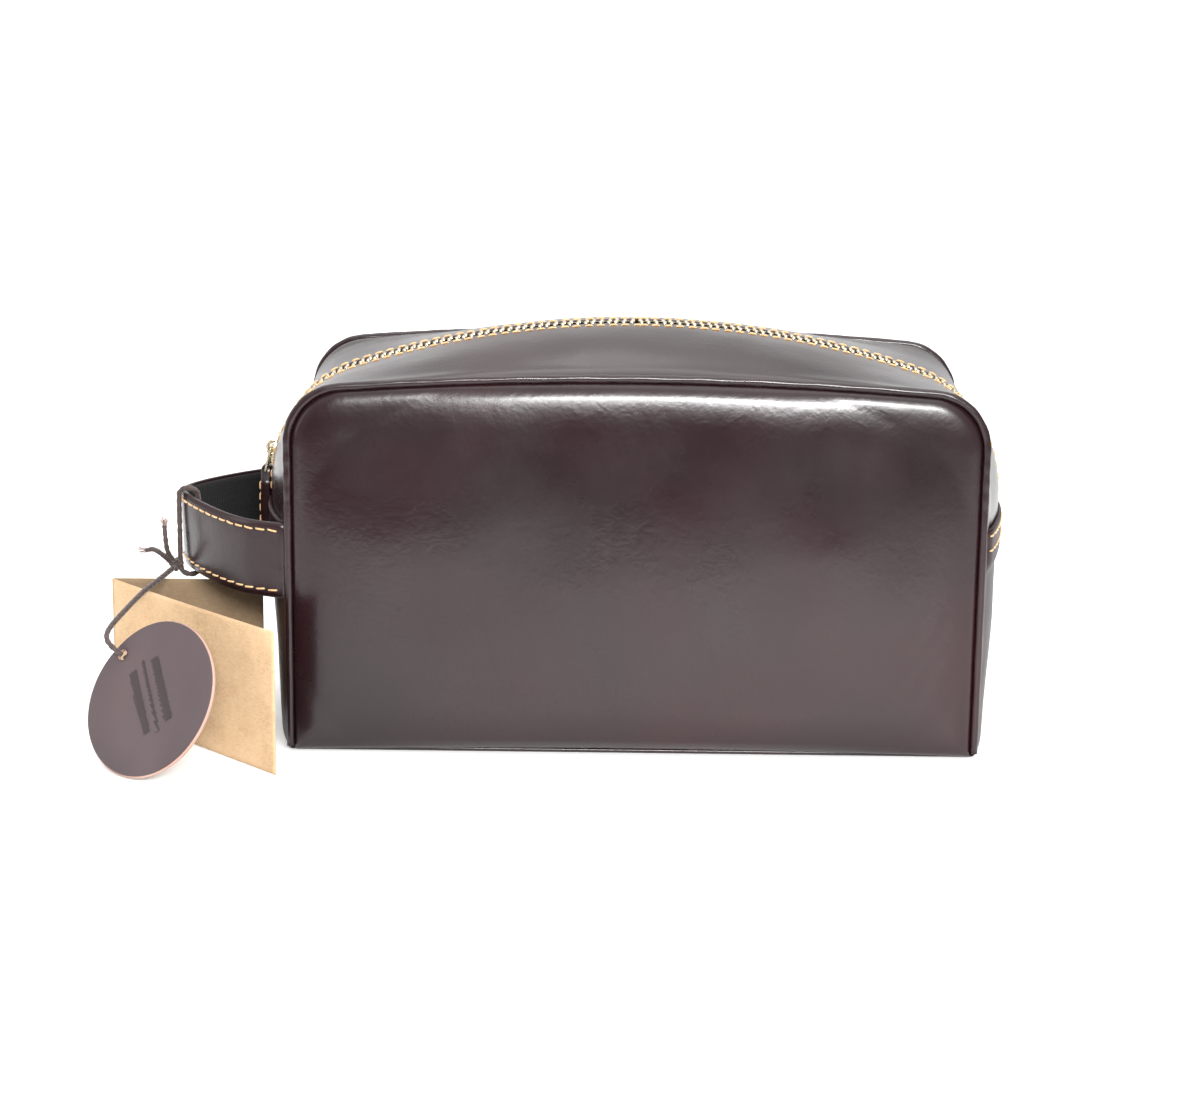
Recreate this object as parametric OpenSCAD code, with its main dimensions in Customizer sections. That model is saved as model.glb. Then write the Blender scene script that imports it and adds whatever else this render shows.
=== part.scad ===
// Leather shaving kit bag with a curved zip, a side carry strap and a hang tag.
// Millimetres. +X to the right end, +Y to the back, +Z up.
// The origin is the centre of the base, on the surface that the bag stands on.

/* [Bag] */
// Width of the front panel between its end seams
bag_w = 246; // [236:1:252]
// Depth from the front seam to the back seam
bag_d = 106; // [102:1:112]
// Height of the seam at the middle of the front panel
seam_h = 137; // [134:1:140]
// Corner radius of the front and back seams
seam_r = 20; // [18:1:22]
// How far the end gussets bulge past the seams
end_bulge = 11; // [10:0.5:12]
// How far the zip line stands above the seam
crest_rise = 12; // [11:0.5:13]
// Corner radius of the zip line
crest_r = 45; // [43:1:47]
// How far the front and back panels swell outwards
panel_crown = 5; // [4:0.5:6]
// Leather thickness
leather = 1.6; // [1.4:0.1:1.8]

/* [Zip] */
// Distance from one tooth to the next
tooth_pitch = 2.8; // [2.7:0.05:3]
// Half the width of the opening between the leather edges
zip_gap = 5; // [4.9:0.1:5.2]
// Height at which the strips meet the end panels
strip_foot_z = 80; // [78:1:82]
// Angle of the slider round the left corner, from horizontal
slider_angle = 13.6; // [13:0.2:14]
// Length of the leather pull tab
tab_len = 34; // [30:1:36]

/* [Strap] */
// Width of the carry strap
strap_w = 27; // [25:1:27]
// Height of the strap's lower edge
strap_z = 56; // [56:0.5:57]
// How far the strap stands out from the end seams
strap_reach = 44; // [43:0.5:44.5]

/* [Tag and card] */
// Diameter of the round leather tag
tag_d = 57; // [56:0.5:58]
// Height of the kraft card
card_h = 52; // [50:0.5:52]
// Length of the card's front leaf
front_leaf = 100; // [92:1:101]
// Length of the card's back leaf
back_leaf = 57; // [50:1:58]

/* [Hidden] */
$fn = 48;

dark_leather = [0.20, 0.13, 0.13];
tan_thread = [0.86, 0.62, 0.36];
tape_black = [0.06, 0.05, 0.05];
pale_brass = [0.80, 0.72, 0.52];
lining_brown = [0.28, 0.20, 0.15];
cord_brown = [0.16, 0.09, 0.08];
kraft = [0.76, 0.58, 0.38];

// Outline of the front and back seams, and of the zip line above them.
half_w = bag_w / 2;
half_d = bag_d / 2;
seam_top_r = 1326;
crest_top_r = 323;
foot_taper = 3;
clear = 0.3;

// The mouth flaps stop this far along the top run, counted in the path's own units.
flap_from = 2.07;
flap_to = 2.93;
flap_gap = 0.0025;

// Zip layers, as heights over the leather's outer face.
tape_top = -1.8;
tape_low = -2.4;
tooth_top = -0.7;
tooth_low = -2.5;
tooth_in = 0.6;
tooth_out = 3.3;
tape_in = 3.5;
tape_out = 12;
thread_r = 0.35;
thread_h = 0.42;
stitch_inset = 3;

// The pull: bridge, link and tab.
pivot_h = 1.8;
link_wire = 0.6;
link_len = 8.5;
link_w = 7;
tab_w = 11;
tab_t = 4;

// The tag's own frame: yaw turns it to the left, lean tips its top back.
tag_centre = [-169, -77, 25.5];
tag_yaw = -38;
tag_lean = -30;
tag_t = 2;
tag_hole = [-20.5, 12.5];
tag_hole_r = 2.2;
fold_at = [-193.3, -10];
leaf_t = 0.5;
leaf_turn = -46.6;
fold_gap = 1.5;

// The cords.
cord_r = 1;
knot_at = [-169.6, -9, 57.5];
knot_r = 2.6;
tag_cord_route = [
    [-170.4, -11.5, 56.6], [-171.3, -14, 56.1], [-172.6, -17.5, 55.4], [-174.1, -21.5, 54.7],
    [-175.8, -26, 53.9], [-177.8, -30.5, 52.9], [-180.1, -35.5, 51.2], [-182.4, -40.5, 49.2],
    [-184.8, -45.8, 47], [-186.8, -50.5, 45], [-187.8, -54.5, 43.2], [-187.4, -57.6, 41.6],
    [-185.8, -59.7, 40.1], [-183.7, -60.6, 38.4], [-181.8, -60.1, 36.8]
];
loop_route = [
    [-168.2, -8, 58], [-168.2, -8, 70], [-168.2, -8, 82], [-167.6, -8, 85], [-164.7, -8, 86.4],
    [-161.7, -8, 85], [-161.1, -8, 82], [-161.1, -8, 70], [-161.1, -8, 57], [-161.8, -8, 54.4],
    [-164.5, -8, 53.5], [-167.4, -8, 54.8]
];
tail_one = [[-170.6, -10, 59], [-172.1, -12.5, 63], [-172.6, -13.5, 67.5], [-173.1, -12.5, 73]];
tail_two = [[-171.1, -11, 58.5], [-174.1, -13, 62], [-177.1, -13.5, 64], [-180.1, -13, 63.5]];

// ---- The bag's skin ----

// Height where an outline's straight end meets its corner.
function corner_z(hw, r, apex, top_r) = apex - top_r + sqrt(pow(top_r - r, 2) - pow(hw - r, 2));

// Angle that the corner takes from the quarter turn.
function corner_lean(hw, r, top_r) = asin((hw - r) / (top_r - r));

// Height of the knee, where the zip line's corner starts.
knee_z = corner_z(half_w + end_bulge, crest_r, seam_h + crest_rise, crest_top_r);

// A point on an outline. t is 0 to 1 on the left end up to the knee, to 2 round its corner,
// to 3 on the top, then 4 and 5 down the right side.
function outline(t, hw, r, apex, top_r) =
    let (a = corner_lean(hw, r, top_r), zc = corner_z(hw, r, apex, top_r),
         straight = zc - knee_z, s = (t - 1) * (straight + r * (90 - a) * PI / 180))
    t < 1 ? [-hw, knee_z * t] :
    t < 2 && s < straight ? [-hw, knee_z + s] :
    t < 2 ? let (q = 180 - (s - straight) / r * 180 / PI) [-(hw - r) + r * cos(q), zc + r * sin(q)] :
    t <= 3 ? let (q = 90 + a - (t - 2) * 2 * a) [top_r * cos(q), apex - top_r + top_r * sin(q)] :
    let (m = outline(5 - t, hw, r, apex, top_r)) [-m.x, m.y];

strip_foot_t = strip_foot_z / knee_z;

// Path values round a panel's rim, closer together on the corners.
rim_steps = concat([0, 0.5, 1], [for (k = [13:20]) k / 10], [for (k = [21:29]) k / 10],
                   [for (k = [30:37]) k / 10], [4, 4.5, 5]);

function seam(t) = outline(t, half_w, seam_r, seam_h, seam_top_r);

// The ends bulge less towards the floor.
function foot_pull(t) = t < 1 ? foot_taper * pow(1 - t, 2) : t > 4 ? -foot_taper * pow(t - 4, 2) : 0;
function crest(t) =
    outline(t, half_w + end_bulge, crest_r, seam_h + crest_rise, crest_top_r) + [foot_pull(t), 0];

function skin(t, y) =
    let (w = 1 - pow(y / half_d, 2), s = seam(t), p = s + w * (crest(t) - s)) [p.x, y, p.y];

function unit(v) = v / norm(v);
function skin_along(t, y) = unit(skin(t + 0.002, y) - skin(t - 0.002, y));
function skin_across(t, y) = unit(skin(t, y + 0.5) - skin(t, y - 0.5));
function skin_out(t, y) = unit(cross(skin_along(t, y), skin_across(t, y)));
function over_skin(t, y, h) = skin(t, y) + h * skin_out(t, y);

// A sheet between two heights over the skin, as a closed solid.
module patch(t0, t1, nt, y0, y1, ny, top, low) {
    at = function (i, j, h) over_skin(t0 + (t1 - t0) * i / nt, y0 + (y1 - y0) * j / ny, h);
    row = ny + 1;
    half = (nt + 1) * row;
    points = [
        for (h = [top, low]) for (i = [0:nt]) for (j = [0:ny]) at(i, j, h)
    ];
    rim = concat(
        [for (i = [0:nt - 1]) i * row], [for (j = [0:ny - 1]) nt * row + j],
        [for (i = [nt:-1:1]) i * row + ny], [for (j = [ny:-1:1]) j]
    );
    faces = concat(
        [for (i = [0:nt - 1]) for (j = [0:ny - 1]) let (p = i * row + j) each [
            [p, p + 1, p + row + 1], [p, p + row + 1, p + row],
            [half + p, half + p + row + 1, half + p + 1], [half + p, half + p + row, half + p + row + 1]
        ]],
        [for (k = [0:len(rim) - 1]) let (p = rim[k], q = rim[(k + 1) % len(rim)]) each [
            [p, q, half + q], [p, half + q, half + p]
        ]]
    );
    polyhedron(points, faces);
}

// A round tube along a list of points, open with caps or closed on itself.
module tube(route, r, sides, ref, closed = false) {
    n = len(route);
    last = closed ? n - 1 : n - 2;
    dir = function (i)
        closed ? unit(route[(i + 1) % n] - route[(i + n - 1) % n])
               : unit(route[min(i + 1, n - 1)] - route[max(i - 1, 0)]);
    points = [for (i = [0:n - 1]) let (t = dir(i), u = unit(cross(t, ref)), v = cross(t, u))
        for (k = [0:sides - 1]) route[i] + r * (cos(360 * k / sides) * u + sin(360 * k / sides) * v)];
    walls = [for (i = [0:last]) for (k = [0:sides - 1])
        let (a = i * sides, b = ((i + 1) % n) * sides, k2 = (k + 1) % sides) each [
            [a + k, b + k, b + k2], [a + k, b + k2, a + k2]
        ]];
    tip = (n - 1) * sides;
    caps = closed ? [] : [for (k = [1:sides - 2]) each [[0, k, k + 1], [tip, tip + k + 1, tip + k]]];
    polyhedron(points, concat(walls, caps));
}

// Puts its children at a point of the skin: X along the path, Y across, Z outwards.
module on_skin(t, y, h) {
    p = over_skin(t, y, h);
    a = skin_along(t, y);
    c = skin_out(t, y);
    b = cross(c, a);
    multmatrix([[a.x, b.x, c.x, p.x], [a.y, b.y, c.y, p.y], [a.z, b.z, c.z, p.z], [0, 0, 0, 1]]) children();
}

// One stitch of thread, lying along X.
module stitch(length) rotate([0, 90, 0]) cylinder(r = thread_r, h = length, center = true, $fn = 6);

// Length of the crest between two path values on one stretch.
corner_arc = crest_r * (90 - corner_lean(half_w + end_bulge, crest_r, crest_top_r)) * PI / 180;
top_arc = 2 * crest_top_r * corner_lean(half_w + end_bulge, crest_r, crest_top_r) * PI / 180;

// Path values at an even pitch from the left strips' feet to their upper ends.
function left_steps(pitch) = concat(
    [for (s = [pitch * 0.9:pitch:knee_z - strip_foot_z]) strip_foot_t + s / knee_z],
    [for (s = [pitch / 2:pitch:corner_arc]) 1 + s / corner_arc],
    [for (s = [pitch / 2:pitch:(flap_from - flap_gap - 2) * top_arc - pitch / 2]) 2 + s / top_arc]
);
function top_steps(pitch) =
    let (from = (flap_from - 2) * top_arc + pitch / 2 + clear, to = (flap_to - 2) * top_arc - pitch / 2)
    [for (s = [from:pitch:to]) 2 + s / top_arc];
function mirrored(steps) = [for (t = steps) 5 - t];

// ---- Leather ----

// A crowned panel inside the front seam, drawn as rings round its middle.
module crowned_panel(inset, crown, top, low) {
    middle = [0, seam_h * 0.45];
    edge = concat(
        [for (t = rim_steps) let (p = seam(t), q = skin_along(t, half_d), n = [-q.z, q.x]) p - inset * n],
        [for (x = [4:-1:-4]) [x * (half_w - inset) / 5, 0]]
    );
    rings = [0.4, 0.7, 0.88, 1];
    n = len(edge);
    nr = len(rings);
    ring_point = function (k, i, y) let (p = middle + k * (edge[i] - middle))
        [p.x, -half_d - crown * (1 - pow(k, 3)) - y, p.y];
    half = 1 + nr * n;
    points = [for (y = [top, low]) each concat(
        [[middle.x, -half_d - crown - y, middle.y]],
        [for (k = rings) for (i = [0:n - 1]) ring_point(k, i, y)]
    )];
    front = [for (i = [0:n - 1]) let (j = (i + 1) % n) each concat(
        [[0, 1 + i, 1 + j]],
        [for (k = [0:nr - 2]) let (a = 1 + k * n, b = a + n) each [
            [a + i, b + i, b + j], [a + i, b + j, a + j]
        ]]
    )];
    out = 1 + (nr - 1) * n;
    walls = [for (i = [0:n - 1]) let (p = out + i, q = out + (i + 1) % n) each [
        [q, p, half + p], [q, half + p, half + q]
    ]];
    polyhedron(points, concat(front, [for (f = front) [half + f[0], half + f[2], half + f[1]]], walls));
}

module front_panel() color(dark_leather) crowned_panel(2, panel_crown, leather / 2, -leather / 2);
module back_panel() color(dark_leather) mirror([0, 1, 0])
    crowned_panel(2, panel_crown, leather / 2, -leather / 2);

// Outline of the floor plates, inside the end panels.
function floor_outline(inset, y_edge) = let (ys = [for (k = [-6:6]) k * y_edge / 6]) concat(
    [for (y = ys) let (p = over_skin(0, y, -inset)) [p.x, y]],
    [for (k = [6:-1:-6]) let (y = k * y_edge / 6, p = over_skin(5, y, -inset)) [p.x, y]]
);
module floor_plate(inset, y_edge, z, t) translate([0, 0, z]) linear_extrude(t)
    polygon(floor_outline(inset, y_edge));

module base_panel() color(dark_leather) floor_plate(leather + clear, half_d - leather / 2 - clear, 0, leather);

edge_y = half_d - 1.8;
module left_end_panel() color(dark_leather)
    patch(0, strip_foot_t - flap_gap, 8, -edge_y, edge_y, 10, 0, -leather);
module right_end_panel() color(dark_leather) mirror([1, 0, 0]) left_end_panel();

module left_strip_front() color(dark_leather)
    patch(strip_foot_t, flap_from - flap_gap, 12, -edge_y, -zip_gap, 5, 0, -leather);
module left_strip_back() color(dark_leather) mirror([0, 1, 0]) left_strip_front();
module right_strip_front() color(dark_leather) mirror([1, 0, 0]) left_strip_front();
module right_strip_back() color(dark_leather) mirror([1, 0, 0]) left_strip_back();
module top_strip_front() color(dark_leather)
    patch(flap_from, flap_to, 14, -edge_y, -zip_gap, 5, 0, -leather);
module top_strip_back() color(dark_leather) mirror([0, 1, 0]) top_strip_front();

piping_r = 1.5;
piping_route = [for (t = rim_steps)
    let (p = seam(t), q = skin_along(t, half_d), n = [-q.z, q.x], c = p - 0.3 * n) [c.x, -half_d, max(c.y, piping_r)]];
module front_piping() color(dark_leather) tube(piping_route, piping_r, 8, [0, 1, 0]);
module back_piping() color(dark_leather) mirror([0, 1, 0]) front_piping();

// ---- Zip ----

module tape_left_front() color(tape_black)
    patch(strip_foot_t, flap_from - flap_gap, 12, -tape_out, -tape_in, 1, tape_top, tape_low);
module tape_left_back() color(tape_black) mirror([0, 1, 0]) tape_left_front();
module tape_right_front() color(tape_black) mirror([1, 0, 0]) tape_left_front();
module tape_right_back() color(tape_black) mirror([1, 0, 0]) tape_left_back();
module tape_top_front() color(tape_black)
    patch(flap_from, flap_to, 14, -tape_out, -tape_in, 1, tape_top, tape_low);
module tape_top_back() color(tape_black) mirror([0, 1, 0]) tape_top_front();

// A row of teeth. side is -1 in front of the zip's centre line and 1 behind it.
module teeth(steps, side) {
    tooth_w = tooth_pitch * 0.45;
    for (t = steps) on_skin(t, 0, 0)
        translate([-tooth_w / 2, side < 0 ? -tooth_out : tooth_in, tooth_low])
            cube([tooth_w, tooth_out - tooth_in, tooth_top - tooth_low]);
}
function shifted(steps, by) = [for (t = steps) t + by];
half_step = tooth_pitch / 2 / top_arc;
module teeth_top_front() color(pale_brass) teeth(top_steps(tooth_pitch), -1);
module teeth_top_back() color(pale_brass) teeth(shifted(top_steps(tooth_pitch), half_step), 1);
module teeth_left_front() color(pale_brass) teeth(left_steps(tooth_pitch), -1);
module teeth_left_back() color(pale_brass) teeth(left_steps(tooth_pitch), 1);
module teeth_right_front() color(pale_brass) mirror([1, 0, 0]) teeth_left_front();
module teeth_right_back() color(pale_brass) mirror([1, 0, 0]) teeth_left_back();

// A clamped metal stop at each foot of the zip, level with the end panel's skin.
module zip_stops() color(pale_brass) for (side = [0, 1]) mirror([side, 0, 0])
    on_skin(strip_foot_t + 0.012, 0, -2.3) translate([-0.5, -3, 0]) cube([1, 6, 1.7]);

// Place of the slider on the left corner.
corner_centre = [-(half_w + end_bulge - crest_r), knee_z];
slider_tilt = 90 - slider_angle;
module at_slider() translate([corner_centre.x, 0, corner_centre.y]) rotate([0, -slider_tilt, 0])
    translate([0, 0, crest_r]) children();

module slider_plate(t) linear_extrude(t)
    polygon([[-5.5, -3.2], [-4.5, -4.4], [1, -4.4], [5, -3.4], [5.8, -2], [5.8, 2], [5, 3.4],
             [1, 4.4], [-4.5, 4.4], [-5.5, 3.2]]);
module slider_body() color(pale_brass) at_slider() {
    translate([0, 0, -0.4]) slider_plate(1.2);
    translate([0, 0, -3.9]) slider_plate(0.9);
    translate([-5, -0.3, -3.1]) cube([3, 0.6, 2.9]);
    translate([0, 0, 0.75]) rotate([90, 0, 0]) rotate_extrude(angle = 180) translate([2.6, 0]) circle(r = 0.7);
}

// The wire link, from its bar under the bridge to its bar in the tab.
module link_bar(length) rotate([90, 0, 0]) cylinder(r = link_wire, h = length, center = true);
module pull_link() color(pale_brass) at_slider() translate([0, 0, pivot_h]) {
    link_bar(link_w);
    translate([-link_len, 0, 0]) link_bar(link_w);
    for (side = [-1, 1]) translate([0, side * link_w / 2, 0]) {
        rotate([0, -90, 0]) cylinder(r = link_wire, h = link_len);
        sphere(r = link_wire);
        translate([-link_len, 0, 0]) sphere(r = link_wire);
    }
}

// The tab hangs straight down from the link's lower bar.
pivot = [corner_centre.x - (crest_r + pivot_h) * cos(slider_angle),
         corner_centre.y + (crest_r + pivot_h) * sin(slider_angle)];
tab_top = pivot + link_len * [-sin(slider_angle), -cos(slider_angle)];
tab_eye = 5.6;
module at_tab() translate([tab_top.x, 0, tab_top.y]) children();
module pull_tab() color(dark_leather) at_tab() difference() {
    union() {
        rotate([90, 0, 0]) cylinder(r = tab_t / 2, h = tab_eye, center = true);
        translate([-tab_t / 2, -tab_eye / 2, -2.4]) cube([tab_t, tab_eye, 2.4]);
        translate([-tab_t / 2, -tab_w / 2, -tab_len + 4]) cube([tab_t, tab_w, tab_len - 6]);
        translate([-tab_t / 2, 0, -tab_len + 4]) rotate([0, 90, 0]) scale([0.7, 1, 1])
            cylinder(r = tab_w / 2, h = tab_t);
    }
    rotate([90, 0, 0]) cylinder(r = 0.95, h = tab_eye + 2, center = true);
}
module pull_tab_stitching() color(tan_thread) at_tab() for (side = [-1, 1]) for (k = [0:5])
    translate([-tab_t / 2 - thread_h, side * (tab_w / 2 - 1.8), -5 - k * 4.4]) rotate([0, 90, 0]) stitch(3);

// ---- Strap ----

// The strap's bow seen from above: between a half ellipse and two straight runs with a rounded tip.
strap_root_x = half_w + 4;
strap_out_by = strap_reach - 3;
strap_side = half_d - 1;
strap_tip_r = 12;
strap_point = 0.55;
function strap_bow(y) =
    let (run = norm([strap_side, strap_tip_r]) - strap_tip_r,
         pointed = 1 - (norm([y, strap_tip_r]) - strap_tip_r) / run,
         round = sqrt(max(0, 1 - pow(y / strap_side, 2))))
    [-strap_root_x - strap_out_by * (strap_point * pointed + (1 - strap_point) * round), y];
function strap_way(y) = unit(strap_bow(y + 0.1) - strap_bow(y - 0.1));
function strap_face(y, h) = let (way = strap_way(y)) strap_bow(y) + h * [-way.y, way.x];
function strap_arc(inset) = [for (k = [-30:30]) strap_face(strap_side * k / 30, -inset)];
module strap_band(outer, inner, z, h) translate([0, 0, z]) linear_extrude(h)
    polygon(concat(strap_arc(outer), [for (k = [60:-1:0]) strap_arc(inner)[k]]));
module carry_strap() color(dark_leather) strap_band(0, leather, strap_z, strap_w);
module strap_webbing() color(tape_black) strap_band(leather + 0.1, leather + 1.3, strap_z + 1, strap_w - 2);

// Two rows of stitches, without the one that the cord loop covers.
strap_stitch_step = 3.5;
strap_stitch_in = 2.6;
loop_y = -8;
module strap_stitching() color(tan_thread)
    for (z = [strap_z + strap_stitch_in, strap_z + strap_w - strap_stitch_in]) for (k = [-14:14])
        let (y = k * strap_stitch_step, p = strap_face(y, thread_h), way = strap_way(y))
            if (abs(y - loop_y) > 2.3)
                translate([p.x, p.y, z]) rotate([0, 0, atan2(way.y, way.x)]) stitch(3.2);

// ---- Stitching ----

stitch_pitch = 4.4;
module stitch_row(steps, y) for (t = steps) on_skin(t, y, thread_h) stitch(3);
module zip_stitching_front() color(tan_thread) stitch_row(top_steps(stitch_pitch), -zip_gap - stitch_inset);
module zip_stitching_back() color(tan_thread) stitch_row(top_steps(stitch_pitch), zip_gap + stitch_inset);
module zip_stitching_left() color(tan_thread) for (side = [-1, 1])
    stitch_row(left_steps(stitch_pitch), side * (zip_gap + stitch_inset));
module zip_stitching_right() color(tan_thread) mirror([1, 0, 0]) zip_stitching_left();

// Two rows across the right end, where the end panel holds the strips.
module end_tab_stitching() color(tan_thread) for (drop = [2.5, 8]) for (k = [-9:9])
    on_skin(5 - strip_foot_t + drop / knee_z, k * 4.8, thread_h) rotate([0, 0, 90]) stitch(3.2);

// ---- Inside ----

lining_out = -3.2;
lining_in = -3.9;
lining_in_by = 3;
lining_inset = 6;
lining_half_t = 0.35;
module lining_front() color(lining_brown) translate([0, lining_in_by, leather + 0.4])
    crowned_panel(lining_inset, 0, lining_half_t, -lining_half_t);
module lining_back() color(lining_brown) mirror([0, 1, 0]) lining_front();
module lining_left_end() color(lining_brown)
    patch(0.07, strip_foot_t, 6, -half_d + 5, half_d - 5, 8, lining_out, lining_in);
module lining_right_end() color(lining_brown) mirror([1, 0, 0]) lining_left_end();
module base_board() color("dimgray") floor_plate(5, half_d - 6, leather + 0.2, 1.8);
module lining_base() color(lining_brown) floor_plate(5, half_d - 6, leather + 2.2, 0.7);

// ---- Hang tag group ----

module cord_loop() color(cord_brown) tube(loop_route, cord_r, 8, [0, 1, 0], closed = true);
module cord_knot() color(cord_brown) translate(knot_at) sphere(r = knot_r);
module cord_tails() color(cord_brown) for (tail = [tail_one, tail_two]) tube(tail, cord_r, 8, [0, 1, 0.3]);
module tag_cord() color(cord_brown) tube(tag_cord_route, cord_r, 8, [1, 0.2, 0]);

// X across the tag, Z out of its face.
module at_tag() translate(tag_centre) rotate([0, 0, tag_yaw]) rotate([90 + tag_lean, 0, 0]) children();
module hang_tag() color(dark_leather) at_tag() difference() {
    cylinder(d = tag_d, h = tag_t, center = true, $fn = 96);
    translate([tag_hole.x, tag_hole.y, 0]) cylinder(r = tag_hole_r, h = tag_t + 2, center = true);
}
module cord_end_knot() color(cord_brown) at_tag()
    translate([tag_hole.x, tag_hole.y, -tag_t / 2 - 2.4]) sphere(r = 2.3);

module leaf(length, side) translate([fold_gap, side > 0 ? 0 : -leaf_t, 0])
    cube([length - fold_gap, leaf_t, card_h]);
module card_front_leaf() color(kraft) translate([fold_at.x, fold_at.y, 0]) rotate([0, 0, leaf_turn])
    leaf(front_leaf, -1);
module card_back_leaf() color(kraft) translate([fold_at.x, fold_at.y, 0]) leaf(back_leaf, 1);

// ---- Drawing ----

front_panel();
back_panel();
base_panel();
left_end_panel();
right_end_panel();
front_piping();
back_piping();
top_strip_front();
top_strip_back();
left_strip_front();
left_strip_back();
right_strip_front();
right_strip_back();
tape_top_front();
tape_top_back();
tape_left_front();
tape_left_back();
tape_right_front();
tape_right_back();
teeth_top_front();
teeth_top_back();
teeth_left_front();
teeth_left_back();
teeth_right_front();
teeth_right_back();
zip_stops();
slider_body();
pull_link();
pull_tab();
pull_tab_stitching();
carry_strap();
strap_webbing();
strap_stitching();
zip_stitching_front();
zip_stitching_back();
zip_stitching_left();
zip_stitching_right();
end_tab_stitching();
lining_front();
lining_back();
lining_left_end();
lining_right_end();
lining_base();
base_board();
cord_loop();
cord_knot();
cord_tails();
tag_cord();
cord_end_knot();
hang_tag();
card_front_leaf();
card_back_leaf();
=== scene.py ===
"""Leather shaving kit bag: looks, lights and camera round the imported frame."""
import math
import random

import bmesh
import bpy
from mathutils import Matrix, Vector, noise


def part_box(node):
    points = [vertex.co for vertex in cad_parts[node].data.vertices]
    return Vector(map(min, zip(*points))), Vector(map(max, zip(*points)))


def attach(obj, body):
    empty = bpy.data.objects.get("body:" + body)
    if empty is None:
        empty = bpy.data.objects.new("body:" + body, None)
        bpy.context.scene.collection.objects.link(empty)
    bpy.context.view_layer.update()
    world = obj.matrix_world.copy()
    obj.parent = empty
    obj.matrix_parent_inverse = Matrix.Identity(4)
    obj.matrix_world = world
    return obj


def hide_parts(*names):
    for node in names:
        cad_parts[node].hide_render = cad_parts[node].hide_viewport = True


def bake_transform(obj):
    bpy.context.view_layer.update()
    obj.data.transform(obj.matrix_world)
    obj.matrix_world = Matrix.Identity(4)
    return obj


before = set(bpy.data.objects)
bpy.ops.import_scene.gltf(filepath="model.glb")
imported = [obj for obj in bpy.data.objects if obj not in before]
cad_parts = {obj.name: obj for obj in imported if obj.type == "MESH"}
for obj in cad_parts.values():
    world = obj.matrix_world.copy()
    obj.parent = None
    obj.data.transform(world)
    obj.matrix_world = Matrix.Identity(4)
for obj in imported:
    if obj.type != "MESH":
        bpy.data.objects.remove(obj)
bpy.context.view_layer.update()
MM = 0.001


# ---- Sizes, in millimetres, read off the frame ----

def node_box(node):
    """A node's lowest and highest corners, in millimetres."""
    low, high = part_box(node)
    return Vector(low) / MM, Vector(high) / MM


PIPING_R = 1.5
PIPING_SUNK = 0.3       # how far the piping's centre lies inside the seam's outline
piping_low, piping_high = node_box("front_piping")
HALF_D = -(piping_low.y + piping_high.y) / 2
HALF_W = piping_high.x - PIPING_R + PIPING_SUNK
SEAM_H = piping_high.z - PIPING_R + PIPING_SUNK
# The same as in part.scad.
SEAM_R = 20
SEAM_TOP_R = 1326
END_BULGE = 11
CREST_RISE = 12
CREST_R = 45
CREST_TOP_R = 323
FOOT_TAPER = 3
LEATHER = 1.6
ZIP_GAP = 5             # from the zip's middle to the back strips
STRIP_FOOT_Z = 80
TOOTH_PITCH = 2.8


# ---- The bag's skin: the same surface as the frame's ----

def corner_z(hw, r, apex, top_r):
    """Height where an outline's straight end meets its corner."""
    return apex - top_r + math.sqrt((top_r - r) ** 2 - (hw - r) ** 2)


KNEE_Z = corner_z(HALF_W + END_BULGE, CREST_R, SEAM_H + CREST_RISE, CREST_TOP_R)
FOOT_T = STRIP_FOOT_Z / KNEE_Z


def outline(t, hw, r, apex, top_r):
    """A point on an outline: t is 0 to 1 up the left end, to 2 on its corner, to 3 on the top."""
    if t > 3:
        x, z = outline(5 - t, hw, r, apex, top_r)
        return -x, z
    lean = math.asin((hw - r) / (top_r - r))
    zc = corner_z(hw, r, apex, top_r)
    if t < 1:
        return -hw, KNEE_Z * t
    if t < 2:
        straight = zc - KNEE_Z
        s = (t - 1) * (straight + r * (math.pi / 2 - lean))
        if s < straight:
            return -hw, KNEE_Z + s
        q = math.pi - (s - straight) / r
        return -(hw - r) + r * math.cos(q), zc + r * math.sin(q)
    q = math.pi / 2 + lean - (t - 2) * 2 * lean
    return top_r * math.cos(q), apex - top_r + top_r * math.sin(q)


def seam(t):
    """The outline where the gusset meets the front and back panels."""
    return outline(t, HALF_W, SEAM_R, SEAM_H, SEAM_TOP_R)


def crest(t):
    """The gusset's outline over the bag's middle, drawn in towards its foot."""
    x, z = outline(t, HALF_W + END_BULGE, CREST_R, SEAM_H + CREST_RISE, CREST_TOP_R)
    if t < 1:
        x += FOOT_TAPER * (1 - t) ** 2
    elif t > 4:
        x -= FOOT_TAPER * (t - 4) ** 2
    return x, z


def skin(t, y):
    """The gusset's surface: the crest's outline in the middle, the seam's at front and back."""
    w = 1 - (y / HALF_D) ** 2
    sx, sz = seam(t)
    cx, cz = crest(t)
    return Vector((sx + w * (cx - sx), y, sz + w * (cz - sz)))


def skin_frame(t, y):
    """A point of the skin, and the directions along the path, across it and out of it."""
    along = (skin(t + 0.002, y) - skin(t - 0.002, y)).normalized()
    across = (skin(t, y + 0.5) - skin(t, y - 0.5)).normalized()
    out = along.cross(across).normalized()
    return skin(t, y), along, out.cross(along), out


def lerp(a, b, f):
    return a + (b - a) * f


def smooth(f):
    """An even step from 0 to 1, as f goes from 0 to 1."""
    f = min(max(f, 0.0), 1.0)
    return f * f * (3 - 2 * f)


def ripple(p, size, seed):
    """Smooth noise from -1 to 1, with features about size millimetres across."""
    return noise.noise(Vector(p) / size + Vector((seed, seed * 1.7, seed * 0.6)))


# ---- Mesh helpers ----

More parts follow.
